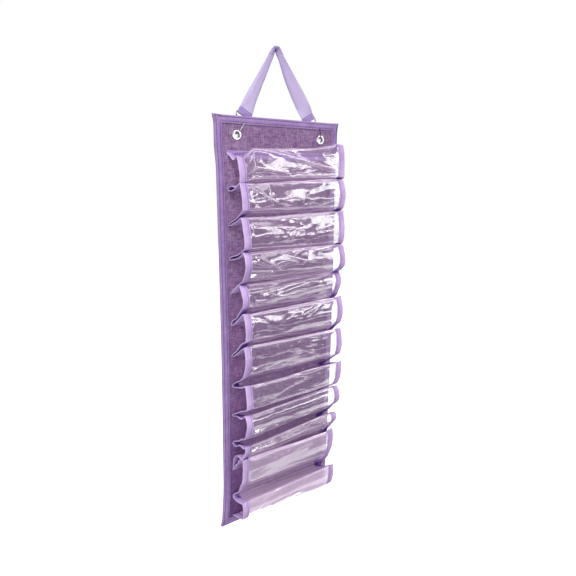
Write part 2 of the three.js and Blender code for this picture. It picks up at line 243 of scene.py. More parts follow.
class Nodes:
    """Short calls for building a node material, or the world's nodes."""

    def __init__(self, name, owner=None, output="OutputMaterial"):
        self.material = owner or bpy.data.materials.new(name)
        self.material.use_nodes = True
        self.tree = self.material.node_tree
        self.tree.nodes.clear()
        self.output = self.add(output)

    def add(self, kind, inputs=None, **settings):
        node = self.tree.nodes.new("ShaderNode" + kind)
        for key, value in settings.items():
            setattr(node, key, value)
        for key, value in (inputs or {}).items():
            if isinstance(value, bpy.types.NodeSocket):
                self.tree.links.new(value, node.inputs[key])
            else:
                node.inputs[key].default_value = value
        return node

    def show(self, shader):
        """Makes a shader the tree's result."""
        self.tree.links.new(shader.outputs[0], self.output.inputs[0])

    def place(self, scale=(1, 1, 1)):
        """Object coordinates, scaled per axis."""
        coordinates = self.add("TexCoord")
        mapping = self.add("Mapping", {"Vector": coordinates.outputs["Object"], "Scale": scale})
        return mapping.outputs["Vector"]

    def noise(self, scale, detail=2.0, roughness=0.5, stretch=(1, 1, 1)):
        inputs = {"Vector": self.place(stretch), "Scale": scale, "Detail": detail, "Roughness": roughness}
        return self.add("TexNoise", inputs).outputs["Fac"]

    def wave(self, scale, direction):
        inputs = {"Vector": self.place(), "Scale": scale, "Distortion": 0.6, "Detail Scale": 2.0}
        return self.add("TexWave", inputs, bands_direction=direction).outputs["Fac"]

    def math(self, operation, a, b=0.0, clamp=False):
        return self.add("Math", {0: a, 1: b}, operation=operation, use_clamp=clamp).outputs[0]

    def times(self, a, b, clamp=False):
        return self.math("MULTIPLY", a, b, clamp)

    def plus(self, a, b, clamp=False):
        return self.math("ADD", a, b, clamp)

    def minus(self, a, b):
        return self.math("SUBTRACT", a, b)

    def size(self, value):
        return self.math("ABSOLUTE", value)

    def remap(self, value, low, high, to_low=0.0, to_high=1.0, kind="LINEAR"):
        inputs = {"Value": value, "From Min": low, "From Max": high, "To Min": to_low, "To Max": to_high}
        return self.add("MapRange", inputs, interpolation_type=kind).outputs["Result"]

    def separate(self, vector):
        return self.add("SeparateXYZ", {0: vector}).outputs

    def attribute(self, name):
        return self.add("Attribute", attribute_name=name, attribute_type="GEOMETRY").outputs["Fac"]

    def open_air(self, distance, own_hollows=False):
        """How open a place is, from 0 far inside a hollow to 1, for painting shade into hollows."""
        settings = {"samples": 6, "only_local": own_hollows}
        return self.add("AmbientOcclusion", {"Distance": distance}, **settings).outputs["AO"]

    def thread(self, across, along, pitch):
        """One set of yarns: the rounded profile of each, its number, and a tone that drifts along it."""
        place = self.math("DIVIDE", across, pitch)
        number = self.math("FLOOR", place)
        profile = self.math("SINE", self.times(self.minus(place, number), math.pi))
        spread = {"X": self.times(number, 0.73), "Y": self.times(along, SLUBS_PER_METRE), "Z": pitch * 5000}
        inputs = {"Vector": self.add("CombineXYZ", spread).outputs[0], "Scale": 1.0, "Detail": 2.0}
        return profile, number, self.add("TexNoise", inputs).outputs["Fac"]

    def mix(self, factor, a, b):
        return self.add("Mix", {0: factor, 6: a, 7: b}, data_type="RGBA").outputs[2]

    def mix_shaders(self, factor, a, b):
        return self.add("MixShader", {0: factor, 1: a.outputs[0], 2: b.outputs[0]})

    def bump(self, height, strength, distance):
        node = self.add("Bump", {"Height": height, "Strength": strength, "Distance": distance})
        return node.outputs["Normal"]

    def principled(self, **inputs):
        named = {key.replace("_", " "): value for key, value in inputs.items()}
        self.show(self.add("BsdfPrincipled", named))
        return self.material

    def cloth(self, colour, roughness, height, strength, depth):
        normal = self.bump(height, strength, depth)
        return self.principled(Base_Color=colour, Roughness=roughness, Specular_IOR_Level=0.08, Normal=normal)


WARP_PITCH = 1.05 * MM
WEFT_PITCH = 1.15 * MM
SLUBS_PER_METRE = 55


def linen_material():
    """Heathered coarse linen: crossed yarns of uneven tone, with slubs, and painted shade that deepens
    towards the foot.
    """
    n = Nodes("linen")
    x, _, z = n.separate(n.place())
    warp, warp_number, warp_tone = n.thread(x, z, WARP_PITCH)
    weft, weft_number, weft_tone = n.thread(z, x, WEFT_PITCH)
    over = n.math("MODULO", n.size(n.plus(warp_number, weft_number)), 2.0)
    under = n.minus(1.0, over)
    slubs = n.plus(n.noise(1.0, 2.0, 0.6, (110, 110, 420)), n.noise(1.0, 2.0, 0.6, (420, 110, 110)))
    tone = n.plus(n.times(over, warp_tone), n.times(under, weft_tone))
    tone = n.plus(n.times(tone, 0.55), n.times(slubs, 0.45))
    colour = n.mix(n.remap(tone, 0.56, 0.90), srgb(111, 77, 118), srgb(176, 148, 182))
    colour = n.mix(n.remap(n.noise(24, 3.0, 0.6), 0.35, 0.7, 0.0, 0.2), colour, srgb(112, 78, 132))
    # Painted shade: the linen is darker and bluer towards the panel's foot, where less light reaches
    colour = n.mix(n.remap(z, 0.6, 0.05, 0.0, 0.55), colour, srgb(86, 42, 112))
    yarn = n.math("MAXIMUM", n.times(warp, over), n.times(weft, under))
    return n.cloth(colour, 0.92, n.plus(yarn, n.times(slubs, 0.8)), 0.5, 0.25 * MM)


def tape_material(name, base, shade, light, own_hollows=False):
    """Woven tape: fine ribs and a little uneven dye, with painted shade along its stitch lines and in its
    hollows, and painted light where its rim attribute is set.
    """
    n = Nodes(name)
    # The colour of the painted shade
    painted_shade = dimmed(shade, 0.28, 0.15, 0.52)
    ribs = n.times(n.wave(520, "Z"), n.wave(520, "X"))
    uneven = n.noise(45, 3.0, 0.6)
    flecks = n.noise(420, 2.0, 0.6)
    colour = n.mix(n.remap(uneven, 0.35, 0.68), shade, base)
    colour = n.mix(n.remap(flecks, 0.45, 0.75, 0.0, 0.5), colour, light)
    # Painted shade along the stitch lines, where the seam attribute is set
    colour = n.mix(n.times(n.attribute("seam"), 0.55), colour, painted_shade)
    # Painted shade in hollows, from ambient occlusion
    colour = n.mix(n.remap(n.open_air(14 * MM, own_hollows), 0.3, 0.8, 0.97, 0.0), colour, painted_shade)
    # Painted light where the rim attribute is set: a highlight on a tape's folded edge, and the binding's
    # paler right side behind the film
    colour = n.mix(n.times(n.attribute("rim"), 0.8), colour, light)
    return n.cloth(colour, 0.85, n.plus(ribs, n.times(flecks, 0.6)), 0.5, 0.35 * MM)


WEBBING_CORDS = 14
PICKS_PER_METRE = 900


def webbing_material(name, dark, light):
    """Pale webbing: lengthwise cords, seen as fine soft lines, with close picks across them; painted shade in
    its hollows and on its curled edges where it bunches.
    """
    n = Nodes(name)
    cords = n.size(n.math("SINE", n.times(n.attribute("across"), math.pi * WEBBING_CORDS)))
    picks = n.size(n.math("SINE", n.times(n.attribute("along"), math.pi * PICKS_PER_METRE)))
    tone = n.plus(n.times(cords, 0.6), n.times(n.noise(60), 0.5))
    painted_shade = dimmed(dark, 0.4, 0.3, 0.6)
    colour = n.mix(n.remap(tone, 0.2, 0.85), dark, light)
    # Painted shade in hollows, from ambient occlusion
    colour = n.mix(n.remap(n.open_air(12 * MM), 0.15, 0.8, 0.85, 0.0), colour, painted_shade)
    # Painted shade on the curled edges, where the strap bunches near its apex
    edge = n.size(n.minus(n.times(n.attribute("across"), 2.0), 1.0))
    curl_shade = n.times(n.attribute("bunched_shade"), n.remap(edge, 0.25, 1.0, 0.25, 0.85), clamp=True)
    colour = n.mix(curl_shade, colour, painted_shade)
    return n.cloth(colour, 0.8, n.plus(cords, n.times(picks, 0.35)), 0.55, 0.3 * MM)


def film_material():
    """Clear glossy vinyl: mostly see-through, with painted highlights as milk along its folds and creases,
    painted reflection as milk on the lowest pockets, and sharp glossy highlights.
    """
    n = Nodes("clear_film")
    ripples = n.noise(60, 3.0, 0.55, (0.35, 1, 1))
    scuffs = n.noise(200, 4.0, 0.6, (0.5, 1, 1))
    crinkles = n.add(
        "TexNoise",
        {"Vector": n.place((0.45, 1, 1)), "Scale": 34, "Detail": 3.0, "Roughness": 0.45, "Distortion": 0.6},
        noise_type="RIDGED_MULTIFRACTAL",
        normalize=True,
    ).outputs["Fac"]
    crinkled = n.remap(n.noise(11, 2.0, 0.5, (0.6, 1, 1)), 0.44, 0.62, 0.15, 1.25)
    crinkled = n.times(crinkled, n.attribute("crinkle"))
    height = n.plus(n.times(ripples, 0.7), n.times(n.times(crinkles, crinkled), 0.5))
    normal = n.bump(height, 0.5, 1.6 * MM)
    clear = n.add("BsdfTransparent", {"Color": (0.975, 0.968, 0.982, 1)})
    milk = n.add("BsdfDiffuse", {"Color": srgb(250, 232, 252), "Normal": normal})
    through = n.add("BsdfTranslucent", {"Color": srgb(246, 224, 250)})
    # Painted highlights along folds and creases, and painted reflection of the floor, as white milk
    folded = n.times(n.attribute("painted_highlight"), 0.6)
    milky = n.plus(n.remap(scuffs, 0.35, 0.8, 0.035, 0.13), folded, clamp=True)
    sheet = n.mix_shaders(milky, clear, n.mix_shaders(0.35, milk, through))
    gloss = n.add("BsdfGlossy", {"Roughness": 0.08, "Normal": normal, "Color": (1, 1, 1, 1)})
    facing = n.add("LayerWeight", {"Blend": 0.5, "Normal": normal}).outputs["Facing"]
    shine = n.plus(n.times(n.math("POWER", facing, 5.0), 0.6), 0.042, clamp=True)
    n.show(n.mix_shaders(shine, sheet, gloss))
    return n.material


def steel_material(name, tone):
    n = Nodes(name)
    wear = n.noise(300, 3.0, 0.6)
    roughness = n.remap(wear, 0.3, 0.7, 0.12, 0.3)
    normal = n.bump(wear, 0.15, 0.1 * MM)
    metal = srgb(tone, tone, tone + 4)
    return n.principled(Base_Color=metal, Metallic=1.0, Roughness=roughness, Normal=normal)


def board_material():
    n = Nodes("stiffener")
    fibres = n.noise(200, 4.0, 0.6, (1, 1, 0.3))
    colour = n.mix(n.remap(fibres, 0.3, 0.7), srgb(190, 182, 170), srgb(222, 216, 204))
    return n.principled(Base_Color=colour, Roughness=0.85, Normal=n.bump(fibres, 0.2, 0.2 * MM))


def floor_material():
    """Pale floor: nearly white for the eye, and dimmer as a bounce so that undersides keep their shade."""
    n = Nodes("floor")
    seen = n.add("LightPath").outputs["Is Camera Ray"]
    colour = n.mix(n.noise(3), (0.86, 0.86, 0.87, 1), (0.9, 0.9, 0.9, 1))
    colour = n.mix(seen, (0.3, 0.3, 0.3, 1), colour)
    diffuse = n.add("BsdfDiffuse", {"Color": colour})
    glow = n.add("Emission", {"Color": (1, 1, 1, 1), "Strength": n.times(seen, 0.62)})
    n.show(n.add("AddShader", {0: diffuse.outputs[0], 1: glow.outputs[0]}))
    return n.material


LINEN = linen_material()
BINDING = tape_material("binding_tape", srgb(174, 147, 196), srgb(152, 123, 176), srgb(196, 170, 214), True)
EDGE_TAPE = tape_material("edge_tape", srgb(212, 184, 230), srgb(190, 158, 214), srgb(228, 206, 242))
LINING = tape_material("lining", srgb(140, 112, 152), srgb(122, 94, 134), srgb(160, 132, 170))
THREAD = tape_material("thread", srgb(98, 66, 134), srgb(82, 50, 116), srgb(118, 86, 154))
WEBBING = webbing_material("webbing", srgb(181, 162, 207), srgb(206, 191, 225))
HEM_WEBBING = webbing_material("hem_webbing", srgb(150, 126, 184), srgb(178, 156, 206))
FILM = film_material()
STEEL = steel_material("plated_steel", 178)
WIRE = steel_material("hook_wire", 128)
BOARD = board_material()


def sewn_object(name, parts, cloth):
    """A piece from (points, faces, 0 for its cloth or 1 for thread)."""
    vertices, faces, slots = merge(parts)
    return mesh_object(name, vertices, faces, [cloth, THREAD], slots)


# ---- Panel: the skins, board and binding share one gentle bow

BOW = 5.5 * MM
FOOT_CURL, FOOT_CURL_HEIGHT = 3 * MM, 85 * MM
END_SPREAD = 2.4 * MM
CORNER_EAR, EAR_REACH = 2.4 * MM, 8 * MM


def panel_bow(z):
    """How far the panel's surface moves along Y: proud at mid height, curled back at the foot."""
    height = (z - PANEL_BOTTOM) / (PANEL_TOP - PANEL_BOTTOM)
    belly = -BOW * np.sin(np.pi * np.clip(height / 0.95, 0, 1)) ** 1.3
    return belly + FOOT_CURL * np.clip(1 - (z - PANEL_BOTTOM) / FOOT_CURL_HEIGHT, 0, 1) ** 2


def shape_panel(points):
    """Bows flat panel points, and spreads the ends and corners, which the pockets' seams do not pull in."""
    x, y, z = np.moveaxis(np.array(points, float), -1, 0)
    from_top, from_bottom = PANEL_TOP - z, z - PANEL_BOTTOM
    head = smoothstep((85 * MM - from_top) / (40 * MM))
    foot = smoothstep(1 - from_bottom / (95 * MM))
    moved_x = x + x / PANEL_HALF * END_SPREAD * (head + 0.7 * foot) - 1.5 * MM * foot
    moved_z = z + 0.4 * MM * smoothstep(1 - from_top / (14 * MM))
    moved_z = moved_z - 3.6 * MM * smoothstep(1 - from_bottom / (40 * MM))
    for side in SIDE_NAMES:
        for end, edge in ((1, PANEL_TOP), (-1, PANEL_BOTTOM)):
            ear = np.exp(-((x - side * PANEL_HALF) ** 2 + (z - edge) ** 2) / EAR_REACH**2)
            moved_x = moved_x + side * CORNER_EAR * ear
            moved_z = moved_z + end * CORNER_EAR / 3 * ear
    return np.stack([moved_x, y + panel_bow(z), moved_z], axis=-1)


HOLE_RADIUS = 5.9 * MM
HOLE_CLEARANCE = 8.5 * MM


def outside_hole(places, middle):
    """The numbers of the nearest places that clear a hole on either side of its middle."""
    before, after = np.searchsorted(places, [middle - HOLE_CLEARANCE, middle + HOLE_CLEARANCE])
    return int(before) - 1, int(after)


def cloth_slab(name, node, slot, material, ruffle, step=6 * MM):
    """A thin closed sheet in a node's box, following the panel's bow, with an open hole at each eyelet."""
    low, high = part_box(node)
    across = np.linspace(low.x, high.x, int((high.x - low.x) / step) + 1)
    upward = np.linspace(low.z, high.z, int((high.z - low.z) / step) + 1)
    columns, rows = len(across), len(upward)
    x, z = (place.ravel() for place in np.meshgrid(across, upward))
    cells = {(r, c) for r in range(rows - 1) for c in range(columns - 1)}
    rings, count = [], rows * columns
    for hole_low, hole_high in EYELET_BOXES.values():
        centre = (hole_low + hole_high) / 2
        c0, c1 = outside_hole(across, centre.x)
        r0, r1 = outside_hole(upward, centre.z)
        cells -= {(r, c) for r in range(r0, r1) for c in range(c0, c1)}
        border = rectangle_rim(r0, r1, c0, c1, columns)
        angle = np.arctan2(z[border] - centre.z, x[border] - centre.x)
        rings.append((border, list(range(count, count + len(border)))))
        count += len(border)
        x = np.concatenate([x, centre.x + HOLE_RADIUS * np.cos(angle)])
        z = np.concatenate([z, centre.z + HOLE_RADIUS * np.sin(angle)])
    wave = ruffle * noise_grid(x * 25, z * 25, low.y * 1000)
    front = shape_panel(np.stack([x, low.y + wave, z], axis=-1))
    back = shape_panel(np.stack([x, high.y + wave, z], axis=-1))
    corners = [r * columns + c for r, c in sorted(cells)]
    sheet = [(a, a + 1, a + columns + 1, a + columns) for a in corners]
    edges = looped(rectangle_rim(0, rows - 1, 0, columns - 1, columns))
    for border, ring in rings:
        sheet += [(a, b, d, c) for (a, b), (c, d) in zip(looped(border), looped(ring))]
        edges += [(d, c) for c, d in looped(ring)]
    slab = mesh_object(name, *closed_sheet(front, back, sheet, edges), [material], smooth=False)
    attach(slab, "panel")
    stand_for(slab, slot, node)


def perimeter(inset, step):
    """Points round the panel, inset from its edge, as (x, z, inward x, inward z), with mitred corners."""
    left, right = PANEL_LOW.x + inset, PANEL_HIGH.x - inset
    bottom, top = PANEL_BOTTOM + inset, PANEL_TOP - inset
    corners = [(left, bottom, 1, 1), (right, bottom, -1, 1), (right, top, -1, -1), (left, top, 1, -1)]
    sides = [(0, 1), (-1, 0), (0, -1), (1, 0)]
    stations = []
    for (x0, z0, cx, cz), (x1, z1, _, _), (nx, nz) in zip(corners, corners[1:] + corners[:1], sides):
        count = int(math.hypot(x1 - x0, z1 - z0) / step)
        stations.append((x0, z0, cx, cz))
        for i in range(1, count):
            t = i / count
            stations.append((x0 + (x1 - x0) * t, z0 + (z1 - z0) * t, nx, nz))
    return np.array(stations)


BINDING_SEAMS = (3.4 * MM, 10.2 * MM)
BINDING_STITCH = 4.4 * MM
# The binding's outer line from its inner edge to its fold: (width, height over the lip) in millimetres
BINDING_OUTLINE = [(13.0, 0.0), (12.2, 0.15), (11.0, 0.1), (10.2, -0.25), (9.4, 0.1)]
BINDING_OUTLINE += [(7.0, 0.35), (5.0, 0.25), (4.2, 0.05), (3.4, -0.3), (2.6, 0.0)]
BINDING_OUTLINE += [(1.4, -0.25), (0.7, -0.7), (0.2, -1.5), (0.0, -2.6)]
# Painted light: behind the film its right side is painted paler, beyond this x and below this height
PAINTED_LIGHT_FROM_X, PAINTED_LIGHT_BELOW, PAINTED_LIGHT_FADE = 90 * MM, 720 * MM, 20 * MM


def panel_binding():
    """The folded tape round the panel: a rounded fold, two lips, puckered between its stitches."""
    front, rear = PANEL_LOW.y, PANEL_HIGH.y
    middle, half = (front + rear) / 2, (rear - front) / 2
    outer = [(w * MM, half + y * MM) for w, y in BINDING_OUTLINE]
    inner = [(BINDING_WIDTH, half - 1.0 * MM), (3 * MM, half - 1.0 * MM), (1.2 * MM, half - 1.6 * MM)]
    section = [(w, -y) for w, y in outer] + outer[::-1] + inner + [(w, -y) for w, y in inner[::-1]]
    widths, offsets = np.array(section).T[:, None]
    stations = perimeter(0.0, 1.5 * MM)
    x, z, nx, nz = (column[:, None] for column in stations.T)
    run = travelled(stations[:, :2])[:, None]
    pucker = np.sin(run * math.tau / BINDING_STITCH)
    wander = 0.5 * MM * noise_grid(x * 30, z * 30, 3.0) * (widths / BINDING_WIDTH)
    swell = 0.25 * MM * noise_grid(x * 110, z * 110, 8.0) + 0.12 * MM * pucker
    swell = swell * np.sign(offsets) * np.exp(-((widths - 7 * MM) ** 2) / (4.5 * MM) ** 2)
    inward = widths + wander
    points = shape_panel(np.stack([x + nx * inward, middle + offsets + swell, z + nz * inward], axis=-1))
    # Painted shade along the two stitch lines, deeper where they pucker
    seam = sum(np.exp(-((widths - at) ** 2) / (0.8 * MM) ** 2) for at in BINDING_SEAMS)
    parts = [(points, grid_faces(len(stations), len(section), wrap_rows=True, wrap_columns=True), 0)]
    for inset in BINDING_SEAMS:
        for side, lip in ((-1, front), (1, rear)):
            line = perimeter(inset, 2 * MM)
            line = np.concatenate([line, line[:1]])
            path = np.stack([line[:, 0], np.full(len(line), lip - side * 0.12 * MM), line[:, 1]], axis=1)
            normals = np.tile([0.0, float(side), 0.0], (len(path), 1))
            parts.append(stitch_run(shape_panel(path), normals, BINDING_STITCH, 3.2 * MM, 0.36 * MM))
    binding = sewn_object("panel_binding", parts, BINDING)
    # Painted light: the right side behind the film is painted paler, through the rim attribute
    beyond = smoothstep((points[..., 0] - PAINTED_LIGHT_FROM_X) / PAINTED_LIGHT_FADE)
    below = smoothstep((PAINTED_LIGHT_BELOW - points[..., 2]) / PAINTED_LIGHT_FADE)
    set_attribute(binding, "seam", seam * (0.55 + 0.45 * pucker))
    set_attribute(binding, "rim", 0.9 * beyond * below)
    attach(binding, "panel")
    stand_for(binding, "binding_tape", "edge_binding")


def build_panel():
    cloth_slab("panel_linen", "front_fabric", "linen_fabric", LINEN, 0.25 * MM)
    cloth_slab("panel_board", "stiffener_board", "stiffener", BOARD, 0.0, 20 * MM)
    cloth_slab("panel_lining", "back_fabric", "lining_fabric", LINING, 0.15 * MM)
    panel_binding()


# ---- Pockets: a roof out to a top fold, a bulged front down to a bottom fold, a floor to the next seam

# Each pocket's section at its left and right end: its top fold, the middle of its front and its bottom fold,
# as (depth, height above its upper seam) in millimetres
POCKETS = [
    ([(36, -9), (46, -28), (45, -46)], [(44, 20), (49, -8), (48, -37)]),
    ([(45, 11), (54, -12), (54, -32)], [(48, 18), (54, -10), (50, -32)]),
    ([(48, 16), (58, -16), (56, -35)], [(49, 20), (55, -16), (51, -38)]),
    ([(51, 18), (62, -3), (48, -28)], [(50, 19), (60, -10), (50, -28)]),
    ([(36, 20), (49, 0), (46, -19)], [(36, 25), (49, 8), (38, -19)]),
    ([(50, 31), (57, 6), (56, -14)], [(49, 36), (57, 6), (47, -18)]),
    ([(51, 33), (56, 4), (46, -24)], [(52, 33), (57, 3), (52, -21)]),
    ([(54, 19), (60, -8), (59, -24)], [(58, 24), (57, -4), (48, -26)]),
    ([(51, 20), (61, 2), (48, -29)], [(48, 30), (58, 8), (44, -15)]),
    ([(54, 18), (53, 8), (48, 0)], [(44, 28), (52, 17), (42, 4)]),
    ([(43, 45), (43, 16), (39, -10)], [(40, 44), (42, 14), (34, -16)]),
    ([(43, 12), (46, -8), (42, -25)], [(50, 26), (50, 0), (44, -24)]),
]
# Where these pockets' left roofs bend on their way out
SLACK_ROOFS = {11: (7, 40)}

ROOF_STEPS, FRONT_STEPS, FLOOR_STEPS = 24, 34, 24
FILM_COLUMNS = 110
SECTION_ROWS = ROOF_STEPS + FRONT_STEPS + FLOOR_STEPS - 2
TOP_FOLD = ROOF_STEPS - 1
BOTTOM_FOLD = ROOF_STEPS + FRONT_STEPS - 2
FILM_STANDOFF = 0.6 * MM
ROOF_SAG, FLOOR_SAG = 1.5 * MM, 1.6 * MM
SEAM_DROP, SEAM_BEND = 3.0 * MM, 0.03


def clustered(count):
    """Shares from 0 to 1, closer together towards both ends."""
    return (1 - np.cos(np.linspace(0, np.pi, count))) / 2


def section_curve(points, seam, slack=None):
    """The film's line from its upper to its lower seam, as depth and height in metres, with soft folds."""
    top, middle, bottom = (np.array(p) * MM for p in points)
    upper = np.array([FILM_STANDOFF, 0.0])
    lower = np.array([FILM_STANDOFF, seam_height(seam + 1) - seam_height(seam)])
    t = clustered(ROOF_STEPS)
    roof = upper + (top - upper) * t[:, None]
    roof[:, 1] -= ROOF_SAG * np.sin(np.pi * t) + SEAM_DROP * (1 - t) * (1 - np.exp(-t / SEAM_BEND))
    if slack:
        slack = np.array(slack) * MM
        t = t[:, None]
        roof = np.where(t < 0.5, upper + (slack - upper) * 2 * t, slack + (top - slack) * (2 * t - 1))
        relax(roof, 6)
    control = 2 * middle - (top + bottom) / 2
    s = clustered(FRONT_STEPS)[1:, None]
    front = (1 - s) ** 2 * top + 2 * s * (1 - s) * control + s**2 * bottom
    t = clustered(FLOOR_STEPS)[1:]
    floor = bottom + (lower - bottom) * t[:, None]
    floor[:, 1] -= FLOOR_SAG * np.sin(np.pi * t) - SEAM_DROP * t * (1 - np.exp(-(1 - t) / SEAM_BEND))
    line = np.concatenate([roof, front, floor])
    relax(line, 4)
    line[:, 1] += seam_height(seam)
    return line


def pocket_surface(pocket, columns):
    """Points and outward normals of a pocket's film at the given x places, before wrinkles."""
    seam = pocket - 1
    left_end, right_end = POCKETS[seam]
    left = section_curve(left_end, seam, SLACK_ROOFS.get(pocket))
    right = section_curve(right_end, seam)
    between_tapes = STRIP_HALF - TAPE_WIDTH
    place = np.clip((columns + between_tapes) / (2 * between_tapes), 0, 1)
    share = 0.5 * smoothstep(place) + 0.5 * place
    if pocket == 1:
        share = np.interp(place, [0, 0.08, 0.4, 0.75, 1], [0, 0.52, 0.6, 0.76, 1])
    share = share[:, None, None]
    line = left[None] * (1 - share) + right[None] * share
    x = np.repeat(columns[:, None], line.shape[1], axis=1)
    y = FACE_Y - line[..., 0] + panel_bow(line[..., 1])
    points = np.stack([x, y, line[..., 1]], axis=-1)
    along = np.gradient(points, axis=1)
    return points, unit(np.cross(along, X_AXIS))


def ridge(x, arc, start, end, height, width):
    """A crease between two (x, arc) places: its height, sharp on top, at every point."""
    scale = np.array([1.0, 0.15])
    a, b = np.array(start) * scale, np.array(end) * scale
    d = b - a
    px, pa = x - a[0], arc * scale[1] - a[1]
    t = np.clip((px * d[0] + pa * d[1]) / (d @ d), 0, 1)
    distance = np.hypot(px - t * d[0], pa - t * d[1])
    return height * np.exp(-distance / width) * np.clip(np.sin(np.pi * np.clip(t, 0.01, 0.99)) * 3, 0, 1)


# Creases from end to end of some pockets: share round the section at left and right, height and width in mm
LONG_CREASES = {
    1: [(0.30, 0.60, 3.2, 3.0)],
    5: [(0.46, 0.40, 2.2, 2.2), (0.58, 0.52, 1.8, 2.0)],
    6: [(0.35, 0.37, 1.2, 1.6)],
    7: [(0.35, 0.36, 1.0, 1.4), (0.56, 0.50, 1.0, 1.6)],
    8: [(0.57, 0.60, 1.2, 1.5), (0.61, 0.63, 1.2, 1.3), (0.65, 0.66, 1.0, 1.2)],
    9: [(0.34, 0.35, 1.2, 1.3), (0.56, 0.58, 1.4, 1.5), (0.61, 0.62, 1.4, 1.3)],
    10: [(0.30, 0.34, 1.6, 1.8), (0.44, 0.40, 1.8, 1.8), (0.60, 0.54, 1.6, 1.8)],
    11: [(0.34, 0.38, 1.4, 2.0)],
}

# Shorter ones, with the x of either end before its share
SHORT_CREASES = {
    1: [(-0.09, 0.52, -0.01, 0.60, 1.6, 3.0)],
    2: [(-0.1, 0.36, -0.04, 0.56, 2.4, 2.6), (-0.055, 0.34, -0.05, 0.52, 1.6, 2.2)],
    3: [(-0.1, 0.40, 0.02, 0.46, 1.6, 2.6)],
    4: [(-0.09, 0.38, -0.03, 0.58, 1.8, 2.6), (-0.05, 0.36, 0.03, 0.50, 1.6, 2.4)],
    11: [(-0.1, 0.50, 0.06, 0.44, 1.2, 2.0)],
}

# How crinkled each pocket's film is
CRINKLED = (0.7, 1.0, 0.9, 0.9, 1.2, 0.9, 0.55, 0.4, 0.35, 0.6, 0.6, 0.3)

# Painted reflection: the lowest pockets' film is a little milky all over, standing in for the white floor it
# reflects
PAINTED_FLOOR_REFLECTION = {8: 0.04, 9: 0.05, 10: 0.16, 11: 0.42, 12: 0.7}

# How much more than the others the tape of this pocket and side is crumpled
CRUSHED_TAPES = {(1, -1): 2.0, (4, -1): 1.4, (5, -1): 1.5, (5, 1): 1.8, (9, -1): 1.4}
CRUSHED_TAPES.update({(10, -1): 1.9, (10, 1): 1.9, (11, -1): 1.3, (11, 1): 1.5})


def wrinkles(pocket, x, arc):
    """Height of the film's wrinkles in metres, and the painted highlight along their creases, as how much
    they whiten it, across and along it.
    """
    seed = pocket * 7.3
    slope = x * 1.6
    rough = CRINKLED[pocket - 1]
    buckles = noise_grid(x * 13, arc * 3.2 + slope, seed) * (1.2 + rough)
    folds = noise_grid(x * 26 + arc * 2.5, arc * 11 - slope, seed + 5.0) * 0.8 * rough
    fine = noise_grid(x * 75, arc * 20, seed + 2.0) * 0.24
    end_share = np.exp(-(STRIP_HALF - np.abs(x)) / (20 * MM))
    gathers = noise_grid(x * 16, arc * 38, seed + 9.0) * end_share * 1.1
    height = (buckles + folds + fine + gathers) * MM
    painted_highlight = np.zeros_like(height)
    rng = np.random.default_rng(100 + pocket)
    known = [(-0.1, a, 0.1, b, h, w) for a, b, h, w in LONG_CREASES.get(pocket, [])]
    known += SHORT_CREASES.get(pocket, [])
    creases = [((x0, a), (x1, b), h * MM, w * MM) for x0, a, x1, b, h, w in known]
    for _ in range(int(8 * rough)):
        x0, a0 = rng.uniform(-0.095, 0.095), rng.uniform(0.3, 0.68)
        span, lean = rng.uniform(0.015, 0.06), rng.uniform(-0.12, 0.12)
        tall = rng.choice([-1, 1]) * rng.uniform(0.5, 1.3) * MM
        creases.append(((x0 - span / 2, a0), (x0 + span / 2, a0 + lean), tall, rng.uniform(1.2, 2.4) * MM))
    for start, end, tall, width in creases:
        height = height + ridge(x, arc, start, end, tall, width)
        # Painted highlight: the film is whitened along each crease
        painted_highlight = painted_highlight + ridge(x, arc, start, end, 0.3 + abs(tall) / (5 * MM), width * 0.3)
    return height, painted_highlight


def edge_ripple(pocket, side):
    """How far the strip's outer edge waves out of its surface and sideways, round a pocket's loop."""
    points, _ = pocket_surface(pocket, np.array([side * STRIP_HALF]))
    arc = np.linspace(0, 1, SECTION_ROWS)
    travel = travelled(points[0])
    loose = MM * np.minimum(smoothstep(arc / 0.15), smoothstep((1 - arc) / 0.15))
    on_leg = np.maximum(smoothstep((0.36 - arc) / 0.1), smoothstep((arc - 0.64) / 0.1))
    crush = CRUSHED_TAPES.get((pocket, side), 1.0)
    sway = noise_grid(travel * 32 * crush, pocket * 3.1, side * 2.0) * 1.8 * loose
    flare = noise_grid(travel * 26 * crush, pocket * 5.7, side * 4.0 + 9) * loose
    flare = flare * (1.8 + 3.4 * on_leg * crush)
    ripple = noise_grid(travel * 90, pocket * 2.7, side * 3.0 + 5) * 0.7 * loose
    return flare + ripple + 0.3 * sway, sway


FILM_HALF_THICKNESS = 0.15 * MM
FILM_INSET = 2.2 * MM
# Wandering creases beside the folds, each with a painted highlight: the section row of each, and its noise
# seed
FOLD_CREASES = [(TOP_FOLD + 5, 1.0), (TOP_FOLD - 6, 2.0), (BOTTOM_FOLD - 5, 3.0), (BOTTOM_FOLD + 6, 4.0)]


